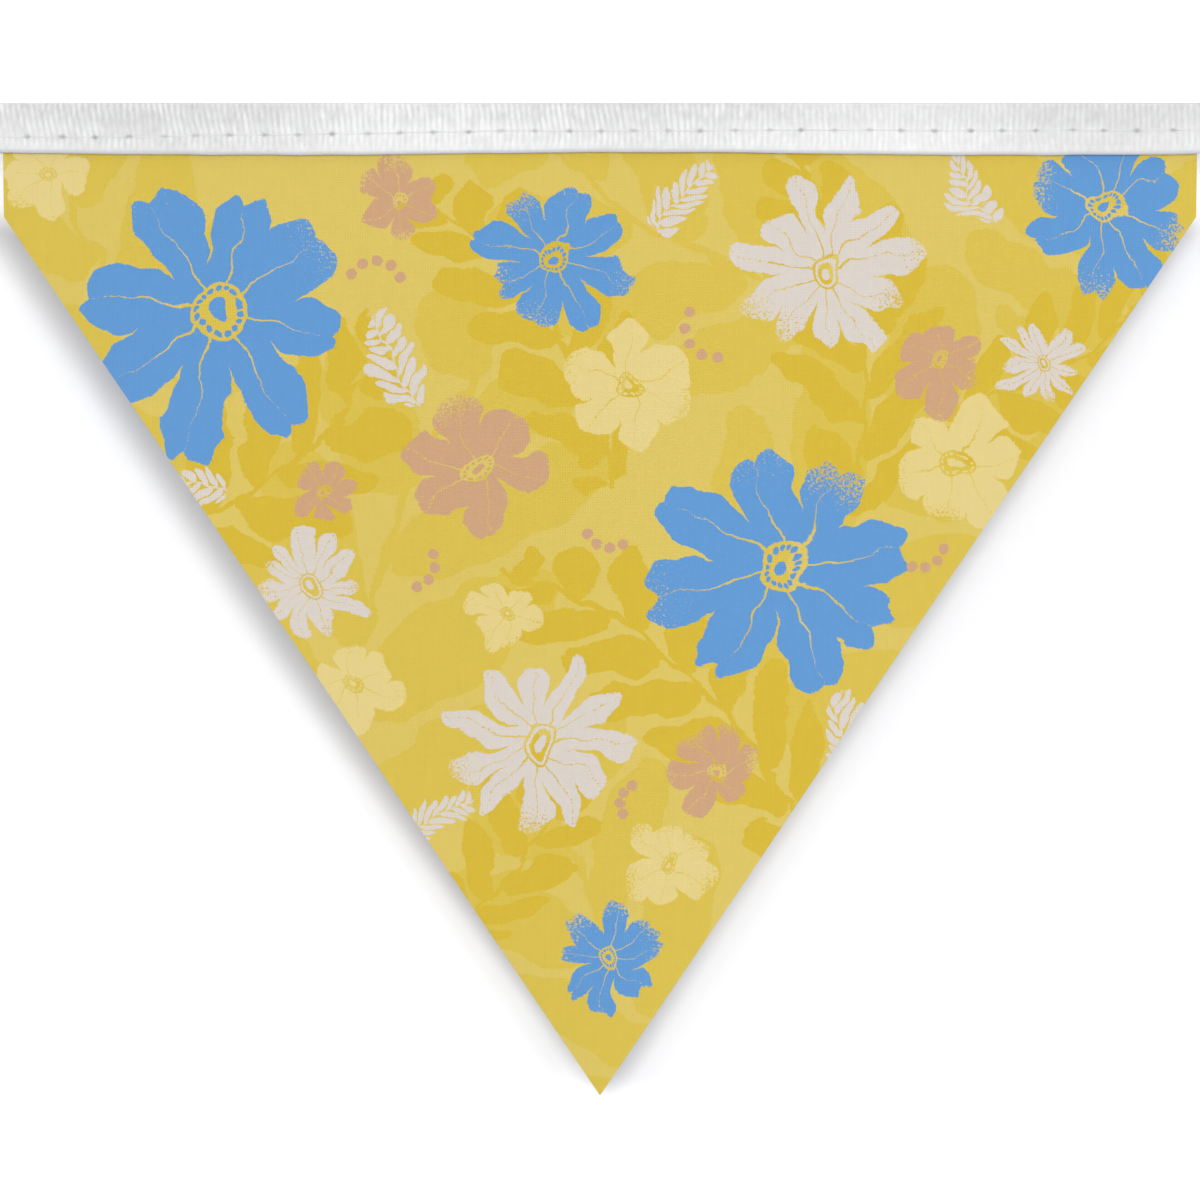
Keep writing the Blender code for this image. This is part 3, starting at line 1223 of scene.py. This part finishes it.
class PennantSettings(PropertyGroup):
    """The printed cloth"""

    thickness: metres("Thickness", 0.0004, "Thickness of the cotton", 0.0001, 0.002)
    thread_pitch: metres("Thread pitch", 0.0005, "Distance between threads", 0.0002, 0.002)
    light_gold: tint("Light gold", base(222, 198, 102), "The print's ground")
    mid_gold: tint("Mid gold", base(219, 193, 82), "The large leaves in the ground")
    deep_gold: tint("Deep gold", base(216, 186, 62), "The small leaves in the ground")
    straw: tint("Straw", base(230, 210, 139), "The palest blooms")
    blue: tint("Blue", base(101, 156, 212), "The large blooms")
    tan: tint("Tan", base(208, 166, 128), "The round blooms and berries")
    greige: tint("Greige", base(220, 211, 202), "The many-petalled blooms")
    undyed: tint("Undyed", base(236, 230, 216), "The cotton's back and cut edges")


class TapeSettings(PropertyGroup):
    """The folded tape and its row of stitches"""

    leaf_thickness: metres("Thickness", 0.0005, "Thickness of the tape", 0.0002, 0.001)
    rib_pitch: metres("Rib pitch", 0.0012, "Distance between ribs", 0.0008, 0.003)
    rib_relief: metres("Rib relief", 0.00007, "Height of the ribs", 0.0, 0.0003)
    needle_dent: metres("Needle dent", 0.00030, "Depth at each needle hole", 0.0, 0.0005)
    stitch_length: metres("Stitch length", 0.00673, "Length of one stitch", 0.002, 0.012)
    thread_width: metres("Thread width", 0.00024, "Width of the thread", 0.0001, 0.001)
    colour: tint("Tape", base(246, 246, 246), "The ribs' colour")
    # painted shade: the grooves between the ribs are painted this darker colour
    groove_shade_colour: tint("Grooves", base(200, 200, 200), "The colour between the ribs")
    # painted shade along the tape's two lower edges
    edge_shade_colour: tint("Lower edge", base(200, 202, 208), "The colour along its two edges")
    # painted shade in the needle holes
    hole_shade_colour: tint("Holes", base(170, 170, 171), "The colour in the needle holes")
    thread_colour: tint("Thread", base(236, 236, 236), "The thread's colour")


class StageSettings(PropertyGroup):
    """The wall, the floor, the lights and the camera"""

    wall_colour: tint("Wall", (0.965, 0.97, 0.99), "The wall and the floor")
    shadow_colour: tint("Shadow", (0.54, 0.545, 0.58), "The wall where the flag shades it")
    room_light: quantity("Room light", 0.45, "Even light from all round")
    key_power: quantity("Key light", 12.5, "Lamp at the right", unit="POWER")
    fill_power: quantity("Fill light", 8.0, "Lamp at the left", unit="POWER")
    top_power: quantity("Top light", 6.0, "Lamp overhead", unit="POWER")
    back_power: quantity("Back light", 15.0, "Lamp behind, for the other side", unit="POWER")
    lens: quantity("Lens", 100.0, "Focal length", low=10.0, unit="CAMERA")


# ---- operators


class BUNTING_OT_pennant(Operator):
    """Make the printed pennant"""

    bl_idname = "bunting.pennant"
    bl_label = "Pennant"

    def execute(self, context):
        settings = context.scene.bunting_pennant
        piece = make_pennant(settings)
        finishes = (
            ("printed_cotton", lambda tree: print_colour(tree, settings)),
            ("printed_cotton_back", lambda tree: back_colour(tree, settings)),
            ("cut_edge", lambda tree: settings.undyed),
        )
        for name, colour_of in finishes:
            piece.data.materials.append(cotton(name, settings, colour_of))
        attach(piece, "root")
        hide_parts("pennant")
        return {"FINISHED"}


class BUNTING_OT_tape(Operator):
    """Make the folded ribbed tape"""

    bl_idname = "bunting.tape"
    bl_label = "Folded tape"

    def execute(self, context):
        settings = context.scene.bunting_tape
        piece = make_tape(settings)
        piece.data.materials.append(ribbon_material(settings))
        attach(piece, "root")
        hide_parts("tape")
        return {"FINISHED"}


class BUNTING_OT_stitches(Operator):
    """Make the row of stitches, front and back"""

    bl_idname = "bunting.stitches"
    bl_label = "Stitches"

    def execute(self, context):
        settings = context.scene.bunting_tape
        piece = make_stitches(settings)
        piece.data.materials.append(thread_material(settings))
        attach(piece, "root")
        return {"FINISHED"}


class BUNTING_OT_stage(Operator):
    """Make the wall, the floor, the lights and the camera"""

    bl_idname = "bunting.stage"
    bl_label = "Stage"

    def execute(self, context):
        settings = context.scene.bunting_stage
        make_wall(settings)
        make_floor(settings)
        make_world(settings)
        for name, azimuth, elevation, strength in (
            ("key_light", 31, 12, settings.key_power),
            ("fill_light", -19, 8, settings.fill_power),
            ("top_light", 20, 72, settings.top_power),
            ("back_light", 205, 25, settings.back_power),
        ):
            make_lamp(name, azimuth, elevation, strength)
        make_camera(settings)
        context.scene.view_settings.view_transform = "Standard"
        return {"FINISHED"}


class BUNTING_PT_panel(Panel):
    """Lists the pieces and their settings"""

    bl_label = "Fabric Bunting"
    bl_idname = "BUNTING_PT_panel"
    bl_space_type = "VIEW_3D"
    bl_region_type = "UI"
    bl_category = "Bunting"

    def draw(self, context):
        groups = (
            (context.scene.bunting_stage, (BUNTING_OT_stage,)),
            (context.scene.bunting_tape, (BUNTING_OT_stitches, BUNTING_OT_tape)),
            (context.scene.bunting_pennant, (BUNTING_OT_pennant,)),
        )
        for settings, operators in groups:
            box = self.layout.box()
            for name in settings.__annotations__:
                box.prop(settings, name)
            for operator in operators:
                box.operator(operator.bl_idname)


GROUPS = {
    "bunting_pennant": PennantSettings,
    "bunting_tape": TapeSettings,
    "bunting_stage": StageSettings,
}
OPERATORS = (BUNTING_OT_stage, BUNTING_OT_stitches, BUNTING_OT_tape, BUNTING_OT_pennant)
CLASSES = (*GROUPS.values(), *OPERATORS, BUNTING_PT_panel)


def register():
    for item in CLASSES:
        bpy.utils.register_class(item)
    for name, group in GROUPS.items():
        setattr(bpy.types.Scene, name, PointerProperty(type=group))


def unregister():
    for name in GROUPS:
        delattr(bpy.types.Scene, name)
    for item in reversed(CLASSES):
        bpy.utils.unregister_class(item)


def main():
    register()
    bpy.ops.bunting.stage()
    bpy.ops.bunting.stitches()
    bpy.ops.bunting.tape()
    bpy.ops.bunting.pennant()


if __name__ == "__main__":
    main()
